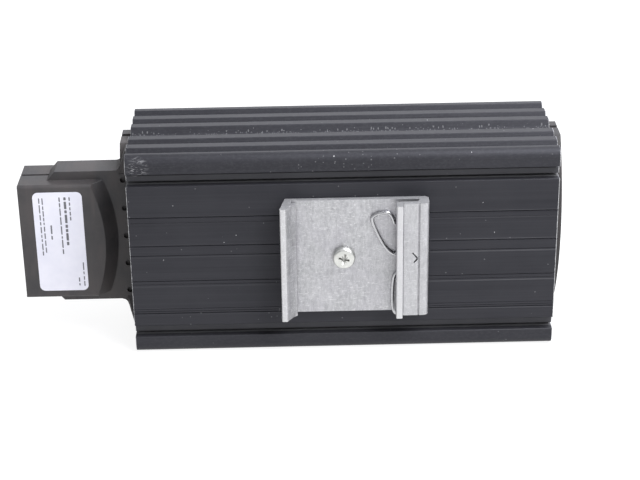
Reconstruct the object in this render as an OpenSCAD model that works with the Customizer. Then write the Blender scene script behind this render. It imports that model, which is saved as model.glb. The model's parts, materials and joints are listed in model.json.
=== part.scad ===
// Enclosure heater, in millimetres.
// The body lies on its long side: X runs along it with the connector at -X,
// the back with the rail clip faces -Y, and Z is up.

/* [Body] */
// Length of the extruded body
body_l = 139.3; // [130:0.1:200]
// Width of the body, over the tips of the side ribs
body_w = 70.4; // [69:0.2:72]
// Depth of the body, back face to front face
body_d = 47.4; // [46:0.2:49]
// Radius of the four long corners
corner_r = 3.0; // [2.8:0.1:3.8]
// Height of the side ribs
rib_h = 2.3; // [1.8:0.1:2.6]
// Width of a rib's flat top
rib_top = 2.9; // [1.2:0.1:3.2]
// Width of the flat top of a corner rib on the back
corner_top = 1.1; // [0.8:0.1:3]
// Radius of the edges of a rib's top
rib_r = 0.45; // [0.2:0.05:0.6]
// Distance from mid depth to the nearest side rib
rib_first = 5.6; // [5:0.1:6.2]
// Thickness of the back and front plates
plate_t = 2.0; // [1.6:0.1:2.4]
// Thickness of the side walls
side_t = 2.0; // [1.6:0.1:2.2]
// Width of the groove beside each corner
groove_w = 4.05; // [3.6:0.05:4.4]
// Depth of that groove
groove_h = 7; // [6:0.5:8]
// Width of the rib that stands in the groove
groove_rib = 2.1; // [1.6:0.1:2.3]
// Depth of the fine lines that the die leaves on the faces
die_line_h = 0.32; // [0.2:0.02:0.5]

/* [Heating channel] */
// Height of the channel, across the stack
channel_h = 8; // [7.8:0.1:8.4]
// Half width of the channel
channel_w = 16; // [15.8:0.1:16.4]
// Thickness of the channel's walls
channel_t = 3.2; // [2.8:0.1:3.4]
// Number of heating stones
stones = 3; // [2:1:4]
// Thickness of a heating stone
stone_t = 2.4; // [2:0.1:2.6]

/* [End plates] */
// Thickness of the connector flange and of the end cap
flange_t = 3.5; // [3.2:0.1:4]
// Height of the end plates
flange_w = 62.6; // [60:0.2:63.4]
// Radius of the bowed edge of the end plates
flange_r = 53; // [50:1:60]
// Distance of the plate screws from the middle
plate_screw = 26.8; // [26.6:0.1:27]

/* [Connector] */
// Length of the connector beyond its flange
conn_l = 33.65; // [33:0.05:36]
// Height of the terminal box
box_w = 41; // [39.8:0.1:41.2]
// Height over the wings
wing_w = 47.2; // [46.8:0.1:47.6]
// Length of the wings
wing_l = 21.65; // [21:0.05:22.5]
// Wall thickness of the mouldings
shell_t = 2; // [1.8:0.1:2.1]
// Distance between the poles
pole_pitch = 10; // [9.9:0.1:10.2]
// Diameter of the wire entries
wire_d = 4; // [3.4:0.1:4.2]

/* [Label] */
// Label size along the connector
label_l = 16.3; // [12:0.1:18]
// Label size across the connector
label_w = 35.9; // [24:0.1:37]
// Label thickness
label_t = 0.12; // [0.08:0.01:0.2]

/* [Rail clip] */
// Width of the clip
clip_w = 40; // [30:1:50]
// Thickness of its plate
clip_t = 2; // [1.8:0.1:2.2]
// Clear gap between the two lips, for a 35 mm rail
rail_gap = 32.2; // [32:0.1:33]
// Height of the left lip above the plate
lip_left = 7.1; // [6.6:0.1:7.4]
// Height of the right lip above the plate
lip_right = 6.5; // [6:0.1:6.8]
// Diameter of the spring wire
wire_spring_d = 1.2; // [0.8:0.05:1.3]
// Head diameter of the clip screw
clip_head_d = 7.5; // [7:0.1:8]

/* [Hidden] */
$fn = 64;
e = 0.01;

hl = body_l / 2;                 // half length
hw = body_w / 2;                 // half width
yc = body_d / 2;                 // mid depth, measured from the back face
yk = yc - 0.4;                   // middle of the connector and of the end plates
floor_z = hw - rib_h;            // floor between the ribs
rib_pitch = (yc - corner_r - rib_first) / 2;
rib_shift = 0.6;                 // the side ribs sit a little towards the back
groove_out = hw - 6.1;           // outer wall of the groove
groove_in = groove_out - groove_w;
groove_mid = (groove_out + groove_in) / 2;
// die lines: height from the middle, strength
die_lines = [[14.0, 1], [12.2, 0.35], [3.85, 0.9], [0.5, 0.65], [-8.75, 0.8], [-9.9, 0.4], [-18.9, 0.45], [-19.8, 0.5], [-20.6, 0.95]];

ch0 = yc - channel_h / 2;        // channel, back side
ch1 = yc + channel_h / 2;        // channel, front side
ins_t = 0.6;                     // insulation sheet
con_t = 1.0;                     // contact sheet
y_con_l = ch0 + ins_t;
y_stone = y_con_l + con_t;
y_con_n = y_stone + stone_t;
y_ins_f = y_con_n + con_t;
y_wedge = y_ins_f + ins_t;       // the wedges fill the rest, up to ch1
stone_l = 105 / stones - 1.5;
web_z = 12.5;                    // outer webs between the channel and the plates
earth_z = -20.3;                 // earth screw

xf = -hl - flange_t;             // outer face of the flange
xe = xf - conn_l;                // outer end of the connector
xcap = hl + flange_t;            // outer face of the end cap
y_flange0 = yk - 10.4;           // bowed edge of the end plates at mid height
y_flange1 = yk + 13.3;           // straight edge of the end plates
y_wing0 = yk - 5.5;
y_wing1 = yk + 4.4;
y_box0 = yk - 9.95;              // label face
y_box1 = yk + 9.3;               // front face
y_part = yk - 0.5;               // parting plane
y_ps = yc + 2.5;                 // the plate screws sit a little to the front
xw = xf - wing_l;                // end of the wings
xb = xw - 2.6;                   // where the wings run into the box
cone_x = xf - 59.25;             // axis of the sloped shoulder
cone_r0 = 53.5;                  // shoulder radius at the label face
cone_r1 = 57.3;                  // and at the wing face
cav = box_w / 2 - shell_t;       // half height of the inside
x_in = xf - 11.75;               // the wide part of the inside ends here
y_wire = yk + 3.8;               // axis of the wire entries
y_bar = yk + 1.7;                // underside of the current bars
poles = [for (i = [-1.5 : 1 : 1.5]) i * pole_pitch];

nose_x = -15.4;                  // nose of the left lip
ridge_x = nose_x + rail_gap;     // inner wall of the right lip
slot_x = ridge_x + 7.5;          // bottom of the slot under the right lip
clip_x1 = ridge_x + 10.6;        // right edge of the clip

ox = -(xe + xcap) / 2;           // origin: middle of the base of the whole part
oy = -(body_d - clip_t - lip_left) / 2;
oz = hw;

black = [0.09, 0.09, 0.10];
plastic = [0.15, 0.145, 0.145];
alu = [0.76, 0.76, 0.78];
steel = [0.62, 0.63, 0.65];
copper = [0.72, 0.45, 0.28];
brassy = [0.78, 0.64, 0.34];

module place() translate([ox, oy, oz]) children();
// a section drawn as (Y, Z), drawn out along X from x0 over l
module along_x(x0, l) translate([x0, 0, 0]) rotate([90, 0, 90]) linear_extrude(height = l) children();
// a section drawn as (X, Z), drawn out along Y from y0 to y1
module along_y(y0, y1) translate([0, y1, 0]) rotate([90, 0, 0]) linear_extrude(height = y1 - y0) children();
module box(x0, x1, y0, y1, z0, z1) translate([x0, y0, z0]) cube([x1 - x0, y1 - y0, z1 - z0]);
module rod_x(x0, x1, y, z, r) translate([x0, y, z]) rotate([0, 90, 0]) cylinder(r = r, h = x1 - x0);
module rod_y(y0, y1, x, z, r) translate([x, y1, z]) rotate([90, 0, 0]) cylinder(r = r, h = y1 - y0);
module flat(x0, x1, y0, y1) translate([x0, y0]) square([x1 - x0, y1 - y0]);

// smooth curve through hand-placed points
function curve(a, b, c, d, t) = 0.5 * (2 * b + (c - a) * t + (2 * a - 5 * b + 4 * c - d) * t * t + (3 * b - a - 3 * c + d) * t * t * t);
function smooth(p, n) = concat([for (i = [0 : len(p) - 2]) for (j = [0 : n - 1])
    curve(p[max(i - 1, 0)], p[i], p[i + 1], p[min(i + 2, len(p) - 1)], j / n)], [p[len(p) - 1]]);
function unit(v) = v / norm(v);
// round wire swept along the points of p
module wire(p, r, m = 10) {
    n = len(p);
    tang = [for (i = [0 : n - 1]) unit(p[min(i + 1, n - 1)] - p[max(i - 1, 0)])];
    side = [for (t = tang) unit(cross(t, [0, 1, 0]))];
    rise = [for (i = [0 : n - 1]) cross(side[i], tang[i])];
    pts = [for (i = [0 : n - 1]) for (j = [0 : m - 1]) p[i] + r * (cos(360 * j / m) * side[i] + sin(360 * j / m) * rise[i])];
    sides = [for (i = [0 : n - 2]) for (j = [0 : m - 1])
        [i * m + j, i * m + (j + 1) % m, (i + 1) * m + (j + 1) % m, (i + 1) * m + j]];
    polyhedron(points = pts, faces = concat([[for (j = [m - 1 : -1 : 0]) j]], sides, [[for (j = [0 : m - 1]) (n - 1) * m + j]]), convexity = 6);
}

// ---------------------------------------------------------------- body
// one side rib: flat top, rounded edges, sloping flanks
module rib(y, top = rib_top) {
    tip = [for (i = [0 : 6]) let (t = 30 + 10 * i) [top / 2 + rib_r * cos(t), hw - rib_r + rib_r * sin(t)]];
    f = tip[0][0] + (tip[0][1] - floor_z) / tan(60);
    polygon(concat([[y + f, floor_z - 0.3], [y + f, floor_z]],
        [for (q = tip) [y + q[0], q[1]]],
        [for (i = [6 : -1 : 0]) [y - tip[i][0], tip[i][1]]],
        [[y - f, floor_z], [y - f, floor_z - 0.3]]));
}

// one quarter of the section, from one face to mid depth: width of the corner rib's top, shift of the side ribs
module quarter(top, dy) {
    flat(0, plate_t, 0, groove_in);
    flat(0, groove_h + 1.6, groove_in - 1.8, groove_in);
    flat(groove_h, groove_h + 1.6, groove_in - 1.8, floor_z);
    flat(2.2, groove_h + e, groove_mid - groove_rib / 2, groove_mid + groove_rib / 2);
    flat(0, corner_r, groove_out, hw - corner_r);
    flat(corner_r, groove_h + 1.6, groove_out, floor_z);
    intersection() {
        translate([corner_r, hw - corner_r]) circle(r = corner_r);
        flat(-1, corner_r, hw - corner_r - e, hw + 1);
    }
    intersection() {
        rib(corner_r, top);
        flat(corner_r - e, 3 * corner_r, 0, hw + 1);
    }
    flat(groove_h, yc, floor_z - side_t, floor_z);
    for (i = [0, 1]) rib(yc - rib_first - i * rib_pitch + dy);
    flat(ch0 - channel_t, ch0, 0, channel_w + 2.5);
    flat(ch0 - channel_t, yc, channel_w, channel_w + 2.5);
    flat(yc - 1.5, yc, channel_w, floor_z - e);
    flat(0, ch0 - channel_t + e, 0, 1.2);
    flat(0, ch0 - channel_t + e, web_z - 0.75, web_z + 0.75);
}

module section() {
    for (m = [0, 1]) for (n = [0, 1])
        translate([m * body_d, 0]) mirror([m, 0]) mirror([0, n])
            quarter(m == 0 ? corner_top : rib_top, m == 0 ? -rib_shift : rib_shift);
    for (s = [-1, 1]) {
        translate([y_ps, s * plate_screw]) circle(r = 3.2);
        translate([yc, s * earth_z]) circle(r = 3);
    }
    flat(0, 8.5, -3.5, 3.5);
}

// a die line: it fades in from above and ends in a narrow notch
module die_line(z, h) polygon([[-1, z + 2.4 * h], [0, z + 2.2 * h], [0.22 * h, z + 0.8 * h], [h, z + 0.1 * h], [h, z - 0.06 * h], [0, z - 0.4 * h], [-1, z - 0.4 * h]]);

module heatsink_profile() color(black) place() difference() {
    along_x(-hl, body_l) difference() {
        section();
        for (d = die_lines) die_line(d[0], die_line_h * d[1]);
        translate([body_d, 0]) mirror([1, 0]) for (d = die_lines) if (d[1] > 0.6) die_line(d[0], die_line_h * d[1]);
    }
    for (s = [-1, 1]) {
        rod_x(-hl - 1, -hl + 14, y_ps, s * plate_screw, 1.55);
        rod_x(hl - 14, hl + 1, y_ps, s * plate_screw, 1.55);
    }
    rod_x(-hl - 1, -hl + 12, yc, earth_z, 1.55);
    rod_y(-1, 8, 0, 0, 2.02);
}

// ---------------------------------------------------------------- end plates
module plate_outline() intersection() {
    translate([y_flange0 + flange_r, 0]) circle(r = flange_r, $fn = 180);
    union() {
        flat(y_flange0, y_flange1 - 1.5, -flange_w / 2, flange_w / 2);
        flat(y_flange0, y_flange1, -flange_w / 2 + 1.5, flange_w / 2 - 1.5);
        for (s = [-1, 1]) translate([y_flange1 - 1.5, s * (flange_w / 2 - 1.5)]) circle(r = 1.5);
    }
}
// small step in the long edges of the end plates
module plate_notch() for (s = [-1, 1]) translate([yk + 7.2, s * (flange_w / 2 + 0.2)]) square([1.9, 1.8], center = true);

module end_cap() color(plastic) place() difference() {
    along_x(hl, flange_t) difference() {
        plate_outline();
        plate_notch();
    }
    for (s = [-1, 1]) {
        rod_x(hl - 1, xcap + 1, y_ps, s * plate_screw, 1.6);
        rod_x(xcap - 2.1, xcap + 1, y_ps, s * plate_screw, 2.9);
    }
}

module plate_screw_solid(x, dir) {
    rod_x(min(x, x + dir * 2), max(x, x + dir * 2), y_ps, 0, 2.75);
    rod_x(min(x, x - dir * 14), max(x, x - dir * 14), y_ps, 0, 1.5);
}
module slot_in(x, dir, w) translate([x + dir * 1.6, y_ps, 0]) cube([1.2, 0.8, w], center = true);

module cap_screws() color(steel) place() for (s = [-1, 1]) translate([0, 0, s * plate_screw]) difference() {
    plate_screw_solid(xcap - 2.1, 1);
    translate([0.4, 0, 0]) slot_in(xcap - 2.1, 1, 3.6);
    translate([xcap - 0.1, y_ps, 0]) cube([1.2, 3.6, 0.8], center = true);
}
module flange_screws() color(steel) place() for (s = [-1, 1]) translate([0, 0, s * plate_screw]) difference() {
    plate_screw_solid(xf + 2.1, -1);
    translate([-0.4, 0, 0]) slot_in(xf + 2.1, -1, 3.6);
    translate([xf + 0.1, y_ps, 0]) cube([1.2, 3.6, 0.8], center = true);
}

// ---------------------------------------------------------------- connector
// half of the box section with two rounded edges towards y0
module box_section(y0, y1, r) {
    d = y1 > y0 ? 1 : -1;
    flat(min(y0 + d * r, y1), max(y0 + d * r, y1), -box_w / 2, box_w / 2);
    flat(min(y0, y1), max(y0, y1), -box_w / 2 + r, box_w / 2 - r);
    for (s = [-1, 1]) translate([y0 + d * r, s * (box_w / 2 - r)]) circle(r = r);
}
// the bowed shoulder between the box face and the wing face
module shoulder(y0, y1) translate([cone_x, y0, 0]) rotate([y1 > y0 ? -90 : 90, 0, 0])
    cylinder(r1 = cone_r0, r2 = cone_r1, h = abs(y1 - y0), $fn = 180);

module wing_outline() {
    polygon([[xf + 1, wing_w / 2], [xw, wing_w / 2], [xb, box_w / 2], [xb, -box_w / 2], [xw, -wing_w / 2], [xf + 1, -wing_w / 2]]);
    // fillets between the wings and the flange
    for (s = [-1, 1]) polygon(concat(
        [for (i = [0 : 6]) [xf - 2 + 2 * cos(15 * i), s * (wing_w / 2 + 2 - 2 * sin(15 * i))]],
        [[xf - 2, s * (wing_w / 2 - 0.5)], [xf + 1, s * (wing_w / 2 - 0.5)], [xf + 1, s * (wing_w / 2 + 2)]]));
}

module connector_base() color(plastic) place() difference() {
    union() {
        along_x(xf, flange_t) difference() {
            intersection() {
                plate_outline();
                flat(y_wing0, y_flange1 + 1, -hw, hw);
            }
            plate_notch();
        }
        // tapered corners towards the back
        for (s = [-1, 1]) hull() {
            translate([xf, y_wing0, s * 23.6 - 1]) cube([flange_t, 3, 2]);
            translate([-hl - 1.2, y_wing0 - 4.2, s * 31.8 - 0.2]) cube([1.2, 7.2, 0.4]);
        }
        along_y(y_wing0, y_wing1) intersection() {
            wing_outline();
            flat(xb - 1, xf + e, -hw, hw);
        }
        intersection() {
            along_x(xe, conn_l) box_section(y_box0, y_part, 1.2);
            union() {
                box(xe - 1, xb + 1, y_box0 - 1, y_part, -hw, hw);
                shoulder(y_box0, y_wing0 + e);
            }
        }
    }
    box(xe + shell_t, x_in, y_box0 + shell_t, y_wing1 + 1, -cav, cav);
    box(x_in - e, xf + 1, y_wing0 + shell_t, y_wing1 - 1.8, -cav, cav);
    box(xe - 1, xf - 3.25, y_part, y_wing1 + 1, -box_w / 2, box_w / 2);
    box(xf, -hl + 1, y_wing0 + shell_t, y_wing1 - 1.8, -channel_w, channel_w);
    rod_x(-hl - 3.2, -hl + 1, yc, earth_z, 3.4);
    box(-hl - 3.2, -hl + 1, yc - 1.8, yc + 1.8, earth_z, -channel_w + 1);
    for (s = [-1, 1]) {
        rod_x(xf - 1, -hl + 1, y_ps, s * plate_screw, 1.6);
        rod_x(xf - 8, xf + 2.1, y_ps, s * plate_screw, 2.9);
    }
    for (i = [-2 : 2]) rod_y(y_wing0 - 1, y_wing0 + 1.2, xf + 0.85, i * 10.1, 1);
}

module terminal_cover() color(plastic) place() difference() {
    intersection() {
        along_x(xe, xf - 3.3 - xe) difference() {
            box_section(y_box1, y_part, 1.2);
            for (s = [-1, 1]) {
                translate([y_part - 1, s * (box_w / 2 + 0.95)]) square([40, 2], center = true);
                translate([y_part, s * (box_w / 2 + 0.2)]) square([2, 2], center = true);
            }
        }
        union() {
            box(xe - 1, xf, y_part - 1, y_wing1, -hw, hw);
            shoulder(y_box1, y_wing1 - e);
        }
    }
    box(xe + 4, x_in, y_part - 1, y_box1 - shell_t, -cav, cav);
    box(x_in - e, xf, y_part - 1, y_wing1 - 1.8, -cav, cav);
    box(xe - 1, xe + 0.6, y_part - 1, y_part + 1, -hw, hw);
    for (z = poles) {
        rod_x(xe - 1, xe + 5, y_wire, z, wire_d / 2);
        box(xe + 7, xe + 8.2, y_box1 - shell_t - 1, y_box1 + 1, z - 1.7, z + 1.7);
    }
}

module rating_label() color("white") place() along_y(y_box0 - label_t, y_box0) {
    x0 = xe + 4.8;
    z0 = 0.2 - label_w / 2;
    r = 1.9;
    flat(x0 + r, x0 + label_l - r, z0, z0 + label_w);
    flat(x0, x0 + label_l, z0 + r, z0 + label_w - r);
    for (a = [r, label_l - r]) for (b = [r, label_w - r]) translate([x0 + a, z0 + b]) circle(r = r);
}

// ---------------------------------------------------------------- rail clip
// section of the clip, as (X, Y)
module clip_section() {
    h1 = clip_t + lip_left;
    h2 = clip_t + lip_right;
    h3 = clip_t + 4.2;
    difference() {
        polygon([[nose_x - 3.5, 0], [nose_x - 5.2, -h1 + 0.5], [nose_x - 4.9, -h1], [nose_x - 3.6, -h1], [nose_x - 3.2, -h1 + 0.35], [nose_x - 1.4, -clip_t - 3.9],
                 [nose_x, -clip_t - 2.7], [nose_x, -clip_t - 1.8], [nose_x - 0.2, -clip_t - 1.6], [nose_x - 1.6, -clip_t - 1.6], [nose_x - 1.6, -clip_t],
                 [slot_x, -clip_t], [slot_x, -clip_t - 2.2], [ridge_x, -clip_t - 2.2], [ridge_x, -h2 + 0.4], [ridge_x + 0.4, -h2], [ridge_x + 1.7, -h2],
                 [ridge_x + 2.1, -h2 + 0.4], [ridge_x + 2.1, -h3 + 0.3], [ridge_x + 2.4, -h3], [ridge_x + 6.9, -h3], [ridge_x + 7.4, -h3 + 0.55],
                 [ridge_x + 7.7, -h3 + 0.1], [clip_x1 - 1.8, -h3 + 0.1], [clip_x1, -h3 + 1.9], [clip_x1, -1], [clip_x1 - 1, 0]]);
    }
    translate([clip_x1 - 1.8, -h3 + 1.9]) circle(r = 1.8);
}

module rail_clip() color(alu) place() difference() {
    translate([0, 0, -clip_w / 2]) linear_extrude(height = clip_w) clip_section();
    rod_y(-clip_t - 1, 1, 0, 0, 2.2);
    // staking mark over the spring
    translate([ridge_x + 6.08, -clip_t - 4.2, 1.65]) rotate([0, 52, 0]) cube([2.7, 2.4, 0.42], center = true);
    translate([ridge_x + 6.3, -clip_t - 4.2, -0.13]) rotate([0, -50, 0]) cube([1.9, 2.4, 0.42], center = true);
}

spring_pts = [[16.4, 11.5], [15.9, 13.2], [15.2, 14.6], [14.2, 15.4], [12.4, 15.4], [10.8, 15.1], [9.4, 14.1], [9.3, 12.4],
              [10.4, 9.3], [11.7, 6.4], [13.1, 3.8], [14.4, 2.1], [15.8, 1.0], [17.2, 0.6], [19.6, 0.2], [21.6, -0.6], [22.4, -2.2],
              [21.4, -4.0], [19.2, -5.0], [17.4, -5.8], [16.4, -7.2], [15.9, -10.7], [15.8, -15.5], [16.0, -18.6], [16.6, -20.4],
              [17.6, -21.0], [18.8, -20.9]];
module clip_spring() color(steel) place()
    wire([for (q = smooth(spring_pts, 3)) [q[0] + ridge_x - 16.8, -clip_t - wire_spring_d / 2 - 0.02, q[1]]], wire_spring_d / 2, 10);

module clip_screw() color(steel) place() translate([0, -clip_t, 0]) rotate([90, 0, 0]) difference() {
    r = clip_head_d / 2;
    rs = (r * r + 1.3 * 1.3) / 2.6;
    union() {
        intersection() {
            cylinder(r = r, h = 2.6);
            translate([0, 0, 2.6 - rs]) sphere(r = rs);
        }
        translate([0, 0, -9.5]) cylinder(r = 2, h = 9.5 + e);
    }
    for (a = [0, 90]) rotate([0, 0, a]) translate([0, 0, 2.4]) cube([4.2, 0.9, 2.6], center = true);
}

// ---------------------------------------------------------------- heating stack
module ptc_stones() color([0.32, 0.30, 0.28]) place() for (i = [0 : stones - 1])
    translate([(i - (stones - 1) / 2) * (stone_l + 1.5), 0, 0]) box(-stone_l / 2, stone_l / 2, y_stone, y_con_n, -13.5, 13.5);

module stone_frame() color([0.85, 0.82, 0.74]) place() difference() {
    box(-57, 57, y_stone + 0.1, y_con_n - 0.1, -15.5, 15.5);
    for (i = [0 : stones - 1]) translate([(i - (stones - 1) / 2) * (stone_l + 1.5), 0, 0])
        box(-stone_l / 2 - 0.1, stone_l / 2 + 0.1, 0, body_d, -13.6, 13.6);
}
module electrode(y, z) {
    box(-58, 58, y, y + con_t, -15, 15);
    box(xf - 3.9, -57, y, y + con_t, z - 2.5, z + 2.5);
}
module electrode_live() color(brassy) place() electrode(y_con_l, 12.5);
module electrode_neutral() color(brassy) place() electrode(y_con_n, 5);
module insulation_back() color([0.75, 0.48, 0.14]) place() box(-62, 62, ch0, ch0 + ins_t, -15.6, 15.6);
module insulation_front() color([0.75, 0.48, 0.14]) place() box(-62, 62, y_ins_f, y_ins_f + ins_t, -15.6, 15.6);
// tapered strips, as (X, Y) sections
module strip(p) color(alu) place() translate([0, 0, -15]) linear_extrude(height = 30) polygon(p);
wedge_a = y_wedge + (ch1 - y_wedge) * 2 / 3;
wedge_b = y_wedge + (ch1 - y_wedge) / 3;
module fixed_wedge() strip([[-60, y_wedge], [60, y_wedge], [60, wedge_b], [-60, wedge_a]]);
module drive_wedge() strip([[-60, wedge_a], [60, wedge_b], [60, ch1], [-60, ch1]]);

// ---------------------------------------------------------------- terminals
module terminal_carrier() color([0.80, 0.79, 0.74]) place() {
    difference() {
        box(xe + 4.9, xe + 16.4, y_box0 + shell_t, y_bar, -cav + 0.1, cav - 0.1);
        for (z = poles) box(xe + 6.4, xe + 14.9, y_box0, y_bar - 2, z - 3.5, z + 3.5);
    }
    for (i = [-1 : 1]) box(xe + 4.9, xe + 16.4, y_bar - e, y_box1 - shell_t - 0.2, i * pole_pitch - 0.7, i * pole_pitch + 0.7);
}
module bar(z) box(xe + 5.4, xe + 21.4, y_bar, y_bar + 1, z - 2.9, z + 2.9);
module current_bar_live() color(copper) place() bar(poles[3]);
module current_bar_neutral() color(copper) place() bar(poles[2]);
module earth_bar() color(copper) place() {
    bar(poles[1]);
    bar(poles[0]);
    box(xe + 17.9, xe + 21.4, y_bar, y_bar + 1, poles[0] - 2.9, poles[1] + 2.9);
}
// hairpin clamp: flat leg under the cover, sprung leg down to the bar
module hairpin() {
    yt = y_box1 - shell_t;
    box(xe + 8.4, xe + 15.9, yt - 0.5, yt, -2.5, 2.5);
    difference() {
        translate([xe + 8.4, yt - 1.2, 0]) cylinder(r = 1.2, h = 5, center = true);
        translate([xe + 8.4, yt - 1.2, 0]) cylinder(r = 0.7, h = 6, center = true);
        box(xe + 8.4, xe + 10, yt - 3, yt + 1, -3, 3);
    }
    translate([xe + 8.4, yt - 2.4, -2.5]) rotate([0, 0, -atan((yt - 2.4 - y_bar - 1.3) / 5.8)]) translate([-0.4, 0, 0]) cube([6.4, 0.5, 5]);
}
module clamp_springs() color(steel) place() for (z = poles) translate([0, 0, z]) hairpin();

y_lead = y_bar - 1.2;
module lead(p, c) color(c) place() wire(smooth(p, 4), 1.1, 10);
module live_lead() lead([[xe + 17.6, y_lead, 15], [xe + 21.4, y_lead, 15], [xe + 25, yc - 0.6, 13.6], [xe + 28, y_con_l + con_t + 1.12, 12.6],
                         [xe + 30.5, y_con_l + con_t + 1.12, 12.5], [xf - 0.4, y_con_l + con_t + 1.12, 12.5]], [0.45, 0.25, 0.12]);
module neutral_lead() lead([[xe + 17.6, y_lead, 5], [xe + 21.4, y_lead, 5], [xe + 25, yc - 0.3, 5], [xe + 28, y_con_n - 1.12, 5],
                            [xe + 30.5, y_con_n - 1.12, 5], [xf - 0.4, y_con_n - 1.12, 5]], [0.15, 0.30, 0.62]);
module earth_lead() lead([[xe + 19, y_lead, -10], [xe + 24, yc - 0.1, -10], [xe + 29, yc - 0.5, -9], [xf - 0.4, yc - 0.4, -8.8],
                          [-hl - 1.6, yc - 0.1, -10.2], [-hl - 1.35, yc, -12], [-hl - 1.35, yc, -13.3]], [0.45, 0.62, 0.16]);
module earth_ring() color(steel) place() difference() {
    union() {
        rod_x(-hl - 0.8, -hl, yc, earth_z, 3.1);
        box(-hl - 0.8, -hl, yc - 1.3, yc + 1.3, earth_z, -14);
        translate([-hl - 1.35, yc, -17.2]) cylinder(r = 1.35, h = 3.8);
    }
    rod_x(-hl - 1, -hl + 1, yc, earth_z, 1.6);
}
module earth_screw() color(steel) place() difference() {
    union() {
        rod_x(-hl - 2.8, -hl - 0.8, yc, earth_z, 2.75);
        rod_x(-hl - 0.8 - e, -hl + 10, yc, earth_z, 1.5);
    }
    translate([-hl - 2.8, yc, earth_z]) cube([2, 0.8, 3.6], center = true);
    translate([-hl - 2.8, yc, earth_z]) cube([2, 3.6, 0.8], center = true);
}

heatsink_profile();
connector_base();
terminal_cover();
end_cap();
rating_label();
rail_clip();
clip_spring();
clip_screw();
ptc_stones();
stone_frame();
electrode_live();
electrode_neutral();
insulation_back();
insulation_front();
fixed_wedge();
drive_wedge();
terminal_carrier();
current_bar_live();
current_bar_neutral();
earth_bar();
clamp_springs();
live_lead();
neutral_lead();
earth_lead();
earth_ring();
earth_screw();
flange_screws();
cap_screws();
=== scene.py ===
import json
import math
import random

import bmesh
import bpy
from mathutils import Matrix, Vector


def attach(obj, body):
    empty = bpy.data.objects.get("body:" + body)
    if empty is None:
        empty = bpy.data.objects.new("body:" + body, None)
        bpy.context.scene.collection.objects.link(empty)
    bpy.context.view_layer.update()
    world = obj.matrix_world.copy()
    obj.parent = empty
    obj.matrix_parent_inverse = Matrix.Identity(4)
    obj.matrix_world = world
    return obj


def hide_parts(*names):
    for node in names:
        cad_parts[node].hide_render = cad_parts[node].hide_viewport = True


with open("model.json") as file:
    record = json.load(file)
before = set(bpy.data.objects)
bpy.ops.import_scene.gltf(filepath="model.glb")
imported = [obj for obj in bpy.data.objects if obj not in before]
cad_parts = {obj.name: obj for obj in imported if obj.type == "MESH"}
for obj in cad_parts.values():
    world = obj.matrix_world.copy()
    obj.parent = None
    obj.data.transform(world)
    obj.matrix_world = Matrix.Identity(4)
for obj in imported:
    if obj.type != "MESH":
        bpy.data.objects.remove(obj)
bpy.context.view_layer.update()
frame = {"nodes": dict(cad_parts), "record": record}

nodes = frame["nodes"]
scene = bpy.context.scene

# Design coordinates are millimetres: X along the body, Y from the back face to the front, Z from mid width.
OFF = Vector((16.825, -19.15, 35.2))
HL = 69.65            # half length of the body
HW = 35.2             # half width
XF = -73.15           # outer face of the flange
XE = -106.8           # outer end of the connector
XCAP = 73.15          # outer face of the end cap


def row(x, y, z):
    return (Vector((x, y, z)) + OFF) * 0.001


# ------------------------------------------------------------------ camera
az, el, roll = math.radians(-0.90), math.radians(24.74), math.radians(-0.82)
back = Vector((math.sin(az) * math.cos(el), -math.cos(az) * math.cos(el), math.sin(el)))
right = Vector((math.cos(az), math.sin(az), 0))
up = back.cross(right)
c, s = math.cos(roll), math.sin(roll)
r2, u2 = c * right + s * up, -s * right + c * up
cam_data = bpy.data.cameras.new("camera")
cam_data.sensor_width = 36
cam_data.lens = 1669 / 640 * 36
cam_data.clip_start, cam_data.clip_end = 0.01, 50
cam = bpy.data.objects.new("camera", cam_data)
scene.collection.objects.link(cam)
cam.matrix_world = Matrix((
    (r2.x, u2.x, back.x, 0.00140),
    (r2.y, u2.y, back.y, -0.51231),
    (r2.z, u2.z, back.z, 0.26757),
    (0, 0, 0, 1)))
scene.camera = cam
scene.view_settings.view_transform = "Standard"
scene.view_settings.look = "None"


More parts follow.
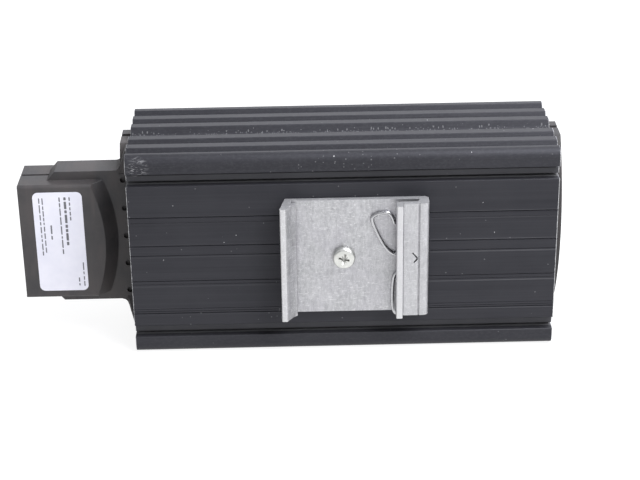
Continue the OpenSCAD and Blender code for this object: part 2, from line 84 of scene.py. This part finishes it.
# ------------------------------------------------------------------ material helpers
class Mat:
    """A principled material, with short names for the nodes that feed it."""

    def __init__(self, name, **values):
        self.m = bpy.data.materials.new(name)
        self.m.use_nodes = True
        self.t = self.m.node_tree
        self.b = self.t.nodes["Principled BSDF"]
        for k, v in values.items():
            self.b.inputs[k.replace("_", " ")].default_value = v
        self.co = self.t.nodes.new("ShaderNodeTexCoord").outputs["Object"]

    def put(self, sock, v):
        if isinstance(v, bpy.types.NodeSocket):
            self.t.links.new(v, sock)
        else:
            sock.default_value = v

    def scaled(self, scale, shift=(0, 0, 0)):
        n = self.t.nodes.new("ShaderNodeMapping")
        n.inputs["Scale"].default_value = scale
        n.inputs["Location"].default_value = shift
        self.t.links.new(self.co, n.inputs["Vector"])
        return n.outputs[0]

    def noise(self, vec, scale=1.0, detail=3.0, rough=0.55, distort=0.0):
        n = self.t.nodes.new("ShaderNodeTexNoise")
        n.inputs["Scale"].default_value = scale
        n.inputs["Detail"].default_value = detail
        n.inputs["Roughness"].default_value = rough
        n.inputs["Distortion"].default_value = distort
        self.t.links.new(vec, n.inputs["Vector"])
        return n.outputs[0]

    def cells(self, vec, scale, flat=False):
        n = self.t.nodes.new("ShaderNodeTexVoronoi")
        if flat:
            n.voronoi_dimensions = "2D"
        n.inputs["Scale"].default_value = scale
        self.t.links.new(vec, n.inputs["Vector"])
        sep = self.t.nodes.new("ShaderNodeSeparateColor")
        self.t.links.new(n.outputs["Color"], sep.inputs[0])
        return n.outputs["Distance"], sep.outputs[0], sep.outputs[1]

    def math(self, op, a, b=0.0, clamp=False):
        n = self.t.nodes.new("ShaderNodeMath")
        n.operation, n.use_clamp = op, clamp
        self.put(n.inputs[0], a)
        self.put(n.inputs[1], b)
        return n.outputs[0]

    def span(self, v, a, b, lo=0.0, hi=1.0, smooth=False):
        n = self.t.nodes.new("ShaderNodeMapRange")
        n.interpolation_type = "SMOOTHSTEP" if smooth else "LINEAR"
        n.clamp = True
        self.put(n.inputs[0], v)
        for i, x in enumerate((a, b, lo, hi)):
            n.inputs[i + 1].default_value = x
        return n.outputs[0]

    def mix(self, f, a, b):
        n = self.t.nodes.new("ShaderNodeMix")
        n.data_type = "RGBA"
        self.put(n.inputs[0], f)
        for sock, v in ((n.inputs[6], a), (n.inputs[7], b)):
            self.put(sock, v if isinstance(v, bpy.types.NodeSocket) else (*v, 1))
        return n.outputs[2]

    def mixf(self, f, a, b):
        n = self.t.nodes.new("ShaderNodeMix")
        n.data_type = "FLOAT"
        self.put(n.inputs[0], f)
        self.put(n.inputs[2], a)
        self.put(n.inputs[3], b)
        return n.outputs[0]

    def xyz(self):
        """Position in design millimetres."""
        n = self.t.nodes.new("ShaderNodeSeparateXYZ")
        self.t.links.new(self.scaled((1000, 1000, 1000), tuple(-OFF)), n.inputs[0])
        return n.outputs[0], n.outputs[1], n.outputs[2]

    def near(self, p, r0, r1):
        """1 within r0 mm of a design point, 0 beyond r1."""
        n = self.t.nodes.new("ShaderNodeVectorMath")
        n.operation = "DISTANCE"
        self.t.links.new(self.scaled((1000, 1000, 1000), tuple(-OFF)), n.inputs[0])
        n.inputs[1].default_value = p
        return self.span(n.outputs["Value"], r0, r1, 1, 0, True)

    def bump(self, h, dist, strength=1.0, normal=None):
        n = self.t.nodes.new("ShaderNodeBump")
        n.inputs["Strength"].default_value = strength
        n.inputs["Distance"].default_value = dist
        self.t.links.new(h, n.inputs["Height"])
        if normal is not None:
            self.t.links.new(normal, n.inputs["Normal"])
        return n.outputs[0]

    def specks(self, cell_mm, keep, size, wild=0.5, flat=False):
        """Small round flecks: one in some of the cells; flat ones lie on faces that look up."""
        d, a, b = self.cells(self.scaled((1000 / cell_mm,) * 3), 1.0, flat)
        on = self.math("GREATER_THAN", a, keep) if not isinstance(keep, bpy.types.NodeSocket) else self.math("SUBTRACT", a, keep)
        if isinstance(keep, bpy.types.NodeSocket):
            on = self.math("GREATER_THAN", on, 0.0)
        r = self.span(b, 0, 1, size * (1 - wild), size * (1 + wild))
        hit = self.math("LESS_THAN", d, r)
        return self.math("MULTIPLY", on, hit)

    def set(self, name, v):
        self.put(self.b.inputs[name], v if isinstance(v, bpy.types.NodeSocket) else v)


# ------------------------------------------------------------------ materials
def black_aluminium():
    m = Mat("black_aluminium", IOR=1.36, Specular_Tint=(0.90, 0.91, 1.0, 1))
    x, y, z = m.xyz()
    # drawing streaks along the body, broad and fine, and a soft cloud
    broad = m.noise(m.scaled((7, 330, 330)), 1.0, 3, 0.6)
    fine = m.noise(m.scaled((11, 1500, 1500), (3, 1, 7)), 1.0, 3, 0.65)
    hair = m.noise(m.scaled((16, 3600, 3600), (8, 2, 5)), 1.0, 2, 0.6)
    cloud = m.noise(m.scaled((55, 55, 55)), 1.0, 4, 0.6)
    grain = m.noise(m.scaled((5200, 5200, 5200)), 1.0, 2, 0.5)
    streak = m.mixf(0.55, broad, fine)
    base = m.mix(m.span(streak, 0.32, 0.68), (0.0145, 0.0143, 0.0172), (0.0262, 0.0260, 0.0300))
    base = m.mix(m.span(cloud, 0.40, 0.75, 0, 0.45), base, (0.0300, 0.0298, 0.0335))
    base = m.mix(m.span(hair, 0.66, 0.74, 0, 0.40), base, (0.0560, 0.0565, 0.0620))
    base = m.mix(m.span(hair, 0.34, 0.27, 0, 0.60), base, (0.0070, 0.0070, 0.0090))
    pepper = m.noise(m.scaled((900, 1500, 1500), (6, 6, 1)), 1.0, 3, 0.7)
    base = m.mix(m.math("MULTIPLY", m.span(pepper, 0.45, 0.70, 0, 0.5), m.span(m.math("ABSOLUTE", z), 27.5, 29)), base, (0.0420, 0.0420, 0.0460))
    # dust: a thin scatter all over, more in the middle valley, on the corner above the clip and at one foot of the clip
    valley = m.math("MULTIPLY", m.span(m.math("ABSOLUTE", m.math("SUBTRACT", y, 24.9)), 0.5, 1.8, 1, 0, True), m.span(z, 32.6, 32.8))
    valley = m.math("MULTIPLY", valley, m.span(m.noise(m.scaled((40, 0, 0))), 0.30, 0.55, 0.25, 1))
    band = m.math("MULTIPLY", m.near((2, 0.6, 31.5), 4, 24), m.math("MULTIPLY", m.span(z, 28, 30), m.span(y, 7, 6)))
    more = m.math("MAXIMUM", m.math("MULTIPLY", valley, 0.20), m.math("MULTIPLY", band, 0.50))
    more = m.math("MAXIMUM", more, m.math("MULTIPLY", m.near((-22.5, 0, -21.5), 0.6, 3.4), 0.45))
    dust = m.specks(2.0, m.math("SUBTRACT", 0.966, m.math("MULTIPLY", more, 0.06)), 0.082, 0.6)
    dust2 = m.specks(0.9, m.math("SUBTRACT", 0.986, m.math("MULTIPLY", more, 0.6)), 0.19, 0.5)
    dust3 = m.math("MULTIPLY", m.specks(0.8, m.math("SUBTRACT", 1.0, m.math("MULTIPLY", valley, 0.92)), 0.24, 0.6, True), 1.15)
    dust = m.math("MAXIMUM", dust, m.math("MULTIPLY", m.math("MAXIMUM", dust2, dust3), 0.24))
    # painted highlight: paler lines along the groove edges and die lines on the back stand in for edge glints, made
    # stronger towards the cap
    painted_edge_glint = m.math("MULTIPLY", z, 0.0)
    for z0, w, k in ((24.9, 0.22, 0.07), (14.42, 0.18, 0.25), (12.0, 0.30, 0.10), (4.42, 0.18, 0.28), (-0.05, 0.30, 0.32),
                     (-10.65, 0.26, 0.36), (-20.95, 0.16, 0.30), (-29.3, 0.20, 0.20)):
        line = m.span(m.math("ABSOLUTE", m.math("SUBTRACT", z, z0)), w * 0.5, w, k, 0)
        painted_edge_glint = m.math("MAXIMUM", painted_edge_glint, line)
    painted_glint_falloff = m.math("MULTIPLY", m.span(x, 5, 62, 0.22, 1.0), m.span(m.noise(m.scaled((90, 0, 0), (3, 0, 0)), 1.0, 3, 0.6), 0.3, 0.6, 0.5, 1.0))
    painted_edge_glint = m.math("MULTIPLY", m.math("MULTIPLY", painted_edge_glint, painted_glint_falloff), m.span(y, 0.4, 0.25))
    # painted edge highlights mixed into the colour
    base = m.mix(painted_edge_glint, base, (0.17, 0.17, 0.178))
    # scuff at the upper corner of the connector end
    scr = m.noise(m.scaled((330, 900, 2100), (2, 5, 1)), 1.0, 4, 0.75, 1.2)
    scuff = m.math("MULTIPLY", m.span(scr, 0.54, 0.60), m.near((-65.6, 0.8, 31.0), 1.4, 4.6))
    mark = m.math("MAXIMUM", m.math("MULTIPLY", dust, 0.66), m.math("MULTIPLY", scuff, 0.55))
    base = m.mix(mark, base, (0.55, 0.55, 0.56))
    # painted light: a pale grey in the two deep grooves stands in for the light that reaches inside them
    groove_fill_light = m.math("MULTIPLY", m.span(y, 2.08, 2.55), m.span(y, 8.2, 7.6))
    groove_fill_light = m.math("MULTIPLY", groove_fill_light, m.span(m.math("ABSOLUTE", m.math("SUBTRACT", m.math("ABSOLUTE", z), 27.1)), 2.3, 2.1))
    base = m.mix(m.math("MULTIPLY", groove_fill_light, m.span(cloud, 0.3, 0.7, 0.6, 0.9)), base, (0.16, 0.16, 0.165))
    # the cut ends are bare, with saw marks, and the bare edge is slightly uneven
    jag = m.noise(m.scaled((0, 420, 420)), 1.0, 4, 0.7)
    wide = m.span(x, -1, 1, 0.13, 0.21)
    edge = m.span(m.math("ADD", m.math("ADD", m.math("ABSOLUTE", x), wide), m.span(jag, 0.3, 0.7, -0.12, 0.06)), HL - 0.02, HL)
    saw = m.noise(m.scaled((200, 90, 2400), (1, 2, 3)), 1.0, 3, 0.6)
    bare = m.mix(m.span(saw, 0.3, 0.7), (0.34, 0.34, 0.35), (0.60, 0.60, 0.61))
    m.set("Base Color", m.mix(edge, base, bare))
    m.set("Metallic", m.math("MULTIPLY", edge, 0.95))
    rough = m.span(streak, 0.25, 0.75, 0.46, 0.58)
    rough = m.mixf(mark, rough, 0.8)
    m.set("Roughness", m.mixf(edge, rough, 0.42))
    h = m.math("ADD", m.math("MULTIPLY", fine, 0.7), m.math("MULTIPLY", grain, 0.3))
    h = m.math("ADD", h, m.math("MULTIPLY", mark, 1.2))
    m.set("Normal", m.bump(h, 0.00003, 0.5))
    return m.m


def black_plastic(name="black_plastic", k=1.0):
    m = Mat(name, IOR=1.49)
    x, y, z = m.xyz()
    grain = m.noise(m.scaled((3800, 3800, 3800)), 1.0, 3, 0.6)
    cloud = m.noise(m.scaled((90, 90, 90)), 1.0, 4, 0.6)
    flow = m.noise(m.scaled((160, 60, 30), (4, 1, 2)), 1.0, 3, 0.5, 0.8)
    base = m.mix(m.span(cloud, 0.36, 0.64), (0.0310 * k, 0.0298 * k, 0.0320 * k), (0.0530 * k, 0.0480 * k, 0.0480 * k))
    base = m.mix(m.span(flow, 0.48, 0.68, 0, 0.6), base, (0.0640 * k, 0.0545 * k, 0.0535 * k))
    dust = m.specks(2.6, 0.972, 0.055, 0.6)
    m.set("Base Color", m.mix(m.math("MULTIPLY", dust, 0.5), base, (0.42, 0.41, 0.40)))
    m.set("Roughness", m.span(m.mixf(0.5, grain, cloud), 0.3, 0.7, 0.50, 0.66))
    m.set("Normal", m.bump(grain, 0.00005, 0.55))
    return m.m


def bare_aluminium(name="bare_aluminium", lo=(0.382, 0.382, 0.394), hi=(0.545, 0.545, 0.557)):
    m = Mat(name, Metallic=1.0)
    x, y, z = m.xyz()
    grain = m.noise(m.scaled((2300, 2300, 130)), 1.0, 4, 0.7)
    coarse = m.noise(m.scaled((620, 620, 60), (5, 2, 1)), 1.0, 3, 0.6)
    mottle = m.noise(m.scaled((1150, 1150, 430), (2, 6, 3)), 1.0, 5, 0.75)
    blotch = m.noise(m.scaled((210, 210, 170)), 1.0, 5, 0.7, 0.5)
    tint = m.noise(m.scaled((110, 110, 80), (7, 3, 9)), 1.0, 3, 0.6)
    tone = m.mixf(0.66, m.mixf(0.35, grain, coarse), mottle)
    base = m.mix(m.span(tone, 0.41, 0.59), lo, hi)
    # painted light: the faces of the two lips are brightened, the right lip more than the left
    lip_painted_light = m.mix(m.span(x, -1, 1), (0.62, 0.62, 0.62), (0.76, 0.76, 0.76))
    base = m.mix(m.math("MULTIPLY", m.span(y, -7.9, -8.3), 0.75), base, lip_painted_light)
    # painted shade: the sloped inner side of the left lip is darkened
    ramp_painted_shade = m.math("MULTIPLY", m.span(y, -4.2, -4.6), m.math("MULTIPLY", m.span(x, -18.9, -18.5), m.span(x, -15.0, -15.3)))
    base = m.mix(m.math("MULTIPLY", ramp_painted_shade, 0.30), base, (0.22, 0.22, 0.225))
    base = m.mix(m.span(tint, 0.45, 0.75, 0, 0.35), base, (0.50, 0.48, 0.53))
    base = m.mix(m.span(blotch, 0.50, 0.66, 0, 0.40), base, (0.60, 0.60, 0.61))
    # pits, bright flecks and fine scratches in every direction
    pit = m.specks(0.6, 0.90, 0.17, 0.6)
    base = m.mix(m.math("MULTIPLY", pit, 0.42), base, (0.28, 0.28, 0.29))
    fleck = m.math("MULTIPLY", m.span(m.noise(m.scaled((2600, 2600, 850), (4, 4, 8)), 1.0, 5, 0.75), 0.52, 0.66), m.span(blotch, 0.40, 0.62, 0.10, 1))
    base = m.mix(m.math("MULTIPLY", fleck, 0.68), base, (0.80, 0.80, 0.81))
    scratch = m.span(m.noise(m.scaled((420, 300, 2300), (1, 8, 4)), 1.0, 4, 0.7, 1.8), 0.57, 0.63, 0, 0.5)
    base = m.mix(scratch, base, (0.90, 0.90, 0.90))
    # the side beyond x 17 is evened towards a mid grey, and the plate is made a little darker
    base = m.mix(m.span(x, 17.0, 17.5, 0, 0.35), base, (0.520, 0.520, 0.530))
    base = m.mix(m.math("MULTIPLY", m.span(y, -6.0, -5.0), m.span(x, 17.5, 17.0, 0, 0.08)), base, (0.25, 0.25, 0.26))
    cut = m.span(m.math("ABSOLUTE", z), 19.85, 19.95)
    base = m.mix(m.math("MULTIPLY", cut, m.span(mottle, 0.4, 0.6, 0.35, 0.75)), base, (0.34, 0.34, 0.345))
    m.set("Base Color", base)
    m.set("Roughness", m.mixf(cut, m.span(m.mixf(0.5, mottle, blotch), 0.3, 0.7, 0.42, 0.60), 0.75))
    h = m.math("ADD", m.math("MULTIPLY", grain, 0.4), m.math("MULTIPLY", mottle, 0.6))
    h = m.math("SUBTRACT", h, m.math("MULTIPLY", pit, 0.8))
    m.set("Normal", m.bump(h, 0.00005, 0.7))
    return m.m


def plain_metal(name, lo, hi, r0, r1, scale=1500, metal=1.0, bump=0.00002):
    m = Mat(name, Metallic=metal)
    a = m.noise(m.scaled((scale,) * 3), 1.0, 3, 0.6)
    b = m.noise(m.scaled((220,) * 3, (3, 9, 1)), 1.0, 4, 0.6)
    m.set("Base Color", m.mix(m.span(m.mixf(0.5, a, b), 0.3, 0.7), lo, hi))
    m.set("Roughness", m.span(b, 0.3, 0.7, r0, r1))
    m.set("Normal", m.bump(a, bump, 0.5))
    return m.m


def screw_metal():
    m = Mat("screw_metal", Metallic=1.0)
    x, y, z = m.xyz()
    a = m.noise(m.scaled((1100,) * 3), 1.0, 4, 0.7)
    b = m.noise(m.scaled((260,) * 3, (3, 9, 1)), 1.0, 4, 0.6)
    base = m.mix(m.span(m.mixf(0.5, a, b), 0.35, 0.65), (0.54, 0.55, 0.52), (0.74, 0.74, 0.71))
    # painted shade inside the recess, which is also rougher
    r2 = m.math("ADD", m.math("MULTIPLY", x, x), m.math("MULTIPLY", z, z))
    low = m.math("SUBTRACT", m.math("ADD", y, 4.56), m.math("MULTIPLY", r2, 0.0278))
    recess_shade_mask = m.math("MULTIPLY", m.span(low, 0.04, 0.12), m.span(r2, 6.5, 6.0))
    m.set("Base Color", m.mix(m.math("MULTIPLY", recess_shade_mask, 0.8), base, (0.42, 0.42, 0.40)))
    m.set("Roughness", m.mixf(recess_shade_mask, m.span(b, 0.3, 0.7, 0.28, 0.46), 0.5))
    m.set("Normal", m.bump(a, 0.00004, 0.6))
    return m.m


def moulded(name, lo, hi, r0=0.45, r1=0.6, scale=2400):
    return plain_metal(name, lo, hi, r0, r1, scale, 0.0, 0.00004)


def label_film():
    m = Mat("label_film", IOR=1.5)
    a = m.noise(m.scaled((140,) * 3), 1.0, 3, 0.6)
    g = m.noise(m.scaled((3000,) * 3), 1.0, 2, 0.6)
    m.set("Base Color", m.mix(m.span(a, 0.3, 0.7), (0.66, 0.66, 0.74), (0.74, 0.735, 0.80)))
    m.set("Roughness", m.span(a, 0.3, 0.7, 0.34, 0.46))
    m.set("Normal", m.bump(g, 0.00001, 0.5))
    return m.m


def ink():
    m = Mat("label_ink")
    a = m.noise(m.scaled((2500,) * 3), 1.0, 3, 0.6)
    m.set("Base Color", m.mix(m.span(a, 0.35, 0.75), (0.075, 0.075, 0.085), (0.20, 0.20, 0.22)))
    m.set("Roughness", m.span(a, 0.3, 0.7, 0.45, 0.6))
    return m.m


M = {
    "black_aluminium": black_aluminium(),
    "black_plastic": black_plastic(),
    # painted shade: the cap is a darker copy of the black plastic, to offset the strong top light on its upward face
    "cap_plastic_painted_dark": black_plastic("cap_plastic_painted_dark", 0.7),
    "bare_aluminium": bare_aluminium(),
    "label": label_film(),
    "spring_steel": plain_metal("spring_steel", (0.40, 0.40, 0.41), (0.56, 0.56, 0.57), 0.20, 0.34),
    "zinc_steel": plain_metal("zinc_steel", (0.66, 0.67, 0.64), (0.82, 0.82, 0.79), 0.24, 0.42, 900),
    "heating_stone": moulded("heating_stone", (0.10, 0.095, 0.09), (0.17, 0.16, 0.15), 0.6, 0.8),
    "inner_plastic": moulded("inner_plastic", (0.52, 0.49, 0.40), (0.62, 0.59, 0.50)),
    "contact_brass": plain_metal("contact_brass", (0.60, 0.42, 0.20), (0.74, 0.55, 0.29), 0.25, 0.40),
    "amber_sheet": moulded("amber_sheet", (0.45, 0.22, 0.03), (0.58, 0.31, 0.06), 0.18, 0.30),
    "lead_brown": moulded("lead_brown", (0.10, 0.04, 0.02), (0.15, 0.065, 0.03)),
    "lead_blue": moulded("lead_blue", (0.02, 0.07, 0.30), (0.04, 0.11, 0.40)),
    "lead_green": moulded("lead_green", (0.12, 0.30, 0.03), (0.18, 0.40, 0.05)),
}
INK = ink()


# ------------------------------------------------------------------ pieces
def node_bm(name):
    """A copy of a CAD node's mesh, in design millimetres, without doubles or needless edges."""
    bm = bmesh.new()
    bm.from_mesh(nodes[name].data)
    for v in bm.verts:
        v.co = v.co * 1000 - OFF
    bmesh.ops.remove_doubles(bm, verts=bm.verts, dist=0.0005)
    bmesh.ops.dissolve_limit(bm, angle_limit=math.radians(0.4), verts=bm.verts, edges=bm.edges, use_dissolve_boundaries=False, delimit=set())
    # faces with holes in them are split up, so that their edges can be rounded
    bmesh.ops.triangulate(bm, faces=[f for f in bm.faces if len(f.verts) > 24])
    return bm


def bevel(bm, edges, w, segs=2):
    edges = [x for x in edges if x.is_valid]
    if edges:
        bmesh.ops.bevel(bm, geom=edges, offset=w, offset_type="OFFSET", segments=segs, profile=0.5, affect="EDGES", clamp_overlap=False)


def corners(bm, angle=28):
    a = math.radians(angle)
    return [x for x in bm.edges if len(x.link_faces) == 2 and x.calc_face_angle(0) > a]


def piece(name, bm, material, slot, *stands_for, sharp=34):
    """Turns a bmesh in design millimetres into a piece that rides on the part."""
    bmesh.ops.remove_doubles(bm, verts=bm.verts, dist=0.001)
    for v in bm.verts:
        v.co = (v.co + OFF) * 0.001
    bmesh.ops.recalc_face_normals(bm, faces=bm.faces)
    for f in bm.faces:
        f.smooth = True
    for x in bm.edges:
        x.smooth = len(x.link_faces) == 2 and x.calc_face_angle(0) < math.radians(sharp)
    me = bpy.data.meshes.new(name)
    bm.to_mesh(me)
    bm.free()
    ob = bpy.data.objects.new(name, me)
    scene.collection.objects.link(ob)
    me.materials.append(material)
    mod = ob.modifiers.new("flat faces", "WEIGHTED_NORMAL")
    mod.keep_sharp, mod.weight = True, 60
    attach(ob, "root")
    if stands_for:
        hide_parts(*stands_for)
    return ob


# body: cut ends slightly broken, long edges slightly rounded
bm = node_bm("heatsink_profile")


def die_mark(x):
    return any((v.co.y < 0.55 or v.co.y > 46.85) and abs(v.co.z) < 24.5 for v in x.verts)


ends = [x for x in corners(bm) if all(abs(abs(v.co.x) - HL) < 0.01 for v in x.verts)]
bevel(bm, [x for x in ends if not die_mark(x)], 0.14, 1)
longs = [x for x in corners(bm) if x.calc_length() > 60 and not die_mark(x)]
bevel(bm, longs, 0.12, 2)
piece("body", bm, M["black_aluminium"], "black_aluminium", "heatsink_profile")

# mouldings
bm = node_bm("connector_base")
bevel(bm, [x for x in corners(bm) if x.calc_length() > 1.2], 0.22, 2)
piece("connector_shell", bm, M["black_plastic"], "black_plastic", "connector_base")
bm = node_bm("terminal_cover")
bevel(bm, [x for x in corners(bm) if x.calc_length() > 1.2], 0.22, 2)
piece("connector_cover", bm, M["black_plastic"], "black_plastic", "terminal_cover")
bm = node_bm("end_cap")
bevel(bm, [x for x in corners(bm) if x.calc_length() > 1.0], 0.25, 2)
piece("cap", bm, M["cap_plastic_painted_dark"], "black_plastic", "end_cap")

# rail clip
bm = node_bm("rail_clip")
bevel(bm, [x for x in corners(bm, 24) if x.calc_length() > 1.2], 0.14, 2)
piece("clip", bm, M["bare_aluminium"], "bare_aluminium", "rail_clip")

# spring: a round wire with rounded ends
PTS = [(16.4, 11.5), (15.9, 13.2), (15.2, 14.6), (14.2, 15.4), (12.4, 15.4), (10.8, 15.1), (9.4, 14.1), (9.3, 12.4),
       (10.4, 9.3), (11.7, 6.4), (13.1, 3.8), (14.4, 2.1), (15.8, 1.0), (17.2, 0.6), (19.6, 0.2), (21.6, -0.6), (22.4, -2.2),
       (21.4, -4.0), (19.2, -5.0), (17.4, -5.8), (16.4, -7.2), (15.9, -10.7), (15.8, -15.5), (16.0, -18.6), (16.6, -20.4),
       (17.6, -21.0), (18.8, -20.9)]


def smooth(p, n):
    out = []
    for i in range(len(p) - 1):
        a, b, q, d = (Vector(p[max(0, min(len(p) - 1, i + k))]) for k in (-1, 0, 1, 2))
        for j in range(n):
            t = j / n
            out.append(0.5 * (2 * b + (q - a) * t + (2 * a - 5 * b + 4 * q - d) * t * t + (3 * b - a - 3 * q + d) * t ** 3))
    return out + [Vector(p[-1])]


def tube(path, r, sides=14):
    """A round wire along points, closed with rounded ends."""
    n = len(path)
    bm = bmesh.new()
    rings = []
    for i, p in enumerate(path):
        t = (path[min(i + 1, n - 1)] - path[max(i - 1, 0)]).normalized()
        side = t.cross(Vector((0, 1, 0))).normalized()
        rise = side.cross(t)
        steps = [(0.0, 1.0)]
        if i == 0:
            steps = [(-math.cos(a) * r * 0.3, math.sin(a)) for a in (0.35, 0.8, 1.2)] + steps
        if i == n - 1:
            steps = steps + [(math.cos(a) * r * 0.3, math.sin(a)) for a in (1.2, 0.8, 0.35)]
        for d, k in steps:
            if i == 0:
                d += r * 0.3
            if i == n - 1:
                d -= r * 0.3
            rings.append([bm.verts.new(p + t * d + r * k * (math.cos(2 * math.pi * j / sides) * side + math.sin(2 * math.pi * j / sides) * rise)) for j in range(sides)])
    for a, b in zip(rings, rings[1:]):
        for j in range(sides):
            bm.faces.new((a[j], a[(j + 1) % sides], b[(j + 1) % sides], b[j]))
    bm.faces.new(rings[0][::-1])
    bm.faces.new(rings[-1])
    return bm


path = [Vector((q[0], -2.62, q[1])) for q in smooth(PTS, 6)]
piece("spring_wire", tube(path, 0.6), M["spring_steel"], "spring_steel", "clip_spring")


# screw: domed head with a cross recess
def lathe(profile, sides=64):
    """Closed turned shape about the Y axis: profile is (radius, height out of the back), from the axis to the axis."""
    bm = bmesh.new()
    rings = []
    for r, h in profile:
        if r < 1e-6:
            rings.append([bm.verts.new((0, -h, 0))])
        else:
            rings.append([bm.verts.new((r * math.cos(2 * math.pi * j / sides), -h, r * math.sin(2 * math.pi * j / sides))) for j in range(sides)])
    for a, b in zip(rings, rings[1:]):
        for j in range(sides):
            k = (j + 1) % sides
            if len(a) == 1:
                bm.faces.new((a[0], b[j], b[k]))
            elif len(b) == 1:
                bm.faces.new((a[j], b[0], a[k]))
            else:
                bm.faces.new((a[j], b[j], b[k], a[k]))
    bmesh.ops.recalc_face_normals(bm, faces=bm.faces)
    return bm


def scratch_object(bm, name):
    me = bpy.data.meshes.new(name)
    bm.to_mesh(me)
    bm.free()
    ob = bpy.data.objects.new(name, me)
    scene.collection.objects.link(ob)
    return ob


prof = [(0, -7.5), (1.7, -7.5), (2.0, -7.2), (2.0, 2.0), (3.55, 2.0), (3.72, 2.12), (3.75, 2.3), (3.75, 3.15)]
for i in range(1, 13):
    a = math.pi / 2 * i / 12
    prof.append((2.75 + math.cos(a), 3.15 + 1.20 * math.sin(a)))
for i in range(1, 8):
    r = 2.75 * (1 - i / 7)
    prof.append((r, 4.56 - 0.21 * (r / 2.75) ** 2))
head = scratch_object(lathe(prof), "tmp_head")
cut = bmesh.new()
for turn, length, width, depth in ((0.25, 2.1, 0.36, 0.95), (0.25 + math.pi / 2, 2.1, 0.36, 0.95), (0.25 + math.pi / 4, 1.7, 0.12, 0.5), (0.25 - math.pi / 4, 1.7, 0.12, 0.5)):
    rot = Matrix.Rotation(turn, 4, "Y")
    top, low = -5.2, -(4.6 - depth)
    ring = []
    for yy, k in ((top, 1.18), (low, 0.55)):
        ring.append([cut.verts.new(rot @ Vector((sx * length * k, yy, sz * width * (0.7 + 0.3 * k)))) for sx, sz in ((-1, -1), (1, -1), (1, 1), (-1, 1))])
    for j in range(4):
        k = (j + 1) % 4
        cut.faces.new((ring[0][j], ring[0][k], ring[1][k], ring[1][j]))
    cut.faces.new(ring[0][::-1])
    cut.faces.new(ring[1])
bmesh.ops.recalc_face_normals(cut, faces=cut.faces)
cutter = scratch_object(cut, "tmp_cut")
mod = head.modifiers.new("recess", "BOOLEAN")
mod.operation, mod.object, mod.solver, mod.use_self = "DIFFERENCE", cutter, "EXACT", True
bpy.context.view_layer.update()
done = bpy.data.meshes.new_from_object(head.evaluated_get(bpy.context.evaluated_depsgraph_get()))
bm = bmesh.new()
bm.from_mesh(done)
for ob in (head, cutter):
    bpy.data.objects.remove(ob)
bmesh.ops.remove_doubles(bm, verts=bm.verts, dist=0.0005)
piece("screw", bm, screw_metal(), "zinc_steel", "clip_screw")

# label print: plain bars in columns, no lettering
rng = random.Random(11)
bm = bmesh.new()
Y0, Y1 = 13.35 - 0.13, 13.35 - 0.06


def bar(x0, x1, z0, z1):
    r = min(0.12, (x1 - x0) * 0.4, (z1 - z0) * 0.4)
    out = [(x0 + r, z0), (x1 - r, z0), (x1, z0 + r), (x1, z1 - r), (x1 - r, z1), (x0 + r, z1), (x0, z1 - r), (x0, z0 + r)]
    a = [bm.verts.new((p[0], Y0, p[1])) for p in out]
    b = [bm.verts.new((p[0], Y1, p[1])) for p in out]
    for j in range(8):
        k = (j + 1) % 8
        bm.faces.new((a[j], a[k], b[k], b[j]))
    bm.faces.new(a[::-1])
    bm.faces.new(b)


def column(x, w, z_top, z_end):
    z = z_top
    while z > z_end + 0.8:
        l = rng.uniform(0.9, 3.2)
        e = max(z - l, z_end)
        bar(x, x + w, e, z)
        z = e - rng.uniform(0.35, 0.6)


LX = XE + 4.8
column(LX + 1.9, 0.38, 16.2, -4.6)
column(LX + 3.0, 0.38, 16.2, -4.0)
column(LX + 5.2, 0.50, 6.4, 1.2)
column(LX + 8.6, 0.42, 16.4, -4.2)
column(LX + 10.2, 0.80, 16.4, -1.0)
column(LX + 11.9, 0.42, 16.4, 8.0)
column(LX + 13.2, 0.42, -13.0, -16.0)
column(LX + 14.9, 0.38, -7.4, -16.2)
piece("label_print", bm, INK, "label")

# what is kept from the CAD: finishes only
slot_of = {p["node"]: p["material_slot"] for p in frame["record"]["subparts"]}
for name, ob in nodes.items():
    ob.data.materials.clear()
    ob.data.materials.append(M[slot_of[name]])

# ------------------------------------------------------------------ floor and light
me = bpy.data.meshes.new("floor")
me.from_pydata([(-4, -4, 0), (4, -4, 0), (4, 4, 0), (-4, 4, 0)], [], [(0, 1, 2, 3)])
floor = bpy.data.objects.new("floor", me)
scene.collection.objects.link(floor)
fm = Mat("floor", Roughness=0.8, Emission_Color=(1, 1, 1, 1), Emission_Strength=0.86)
fm.set("Base Color", fm.mix(fm.noise(fm.scaled((3, 3, 3))), (0.19, 0.19, 0.19), (0.21, 0.21, 0.21)))
me.materials.append(fm.m)

world = bpy.data.worlds.new("studio")
scene.world = world
world.use_nodes = True
bg = world.node_tree.nodes["Background"]
bg.inputs["Color"].default_value = (0.95, 0.96, 1, 1)
bg.inputs["Strength"].default_value = 0.55


def softbox(name, where, aim, w, h, radiance):
    li = bpy.data.lights.new(name, "AREA")
    li.shape, li.size, li.size_y = "RECTANGLE", w, h
    li.energy = radiance * math.pi * w * h
    li.color = (0.95, 0.96, 1)
    ob = bpy.data.objects.new(name, li)
    scene.collection.objects.link(ob)
    ob.location = where
    ob.rotation_euler = (Vector(aim) - Vector(where)).to_track_quat("-Z", "Y").to_euler()


softbox("key", (0.45, -0.45, 0.42), (0.03, 0, 0.03), 0.35, 0.35, 3.7)
softbox("top", (0.34, -0.15, 0.60), (0.03, 0, 0.05), 0.55, 0.40, 12.0)
softbox("rear", (0.35, 1.15, 0.62), (0, 0, 0.05), 1.8, 0.80, 1.9)
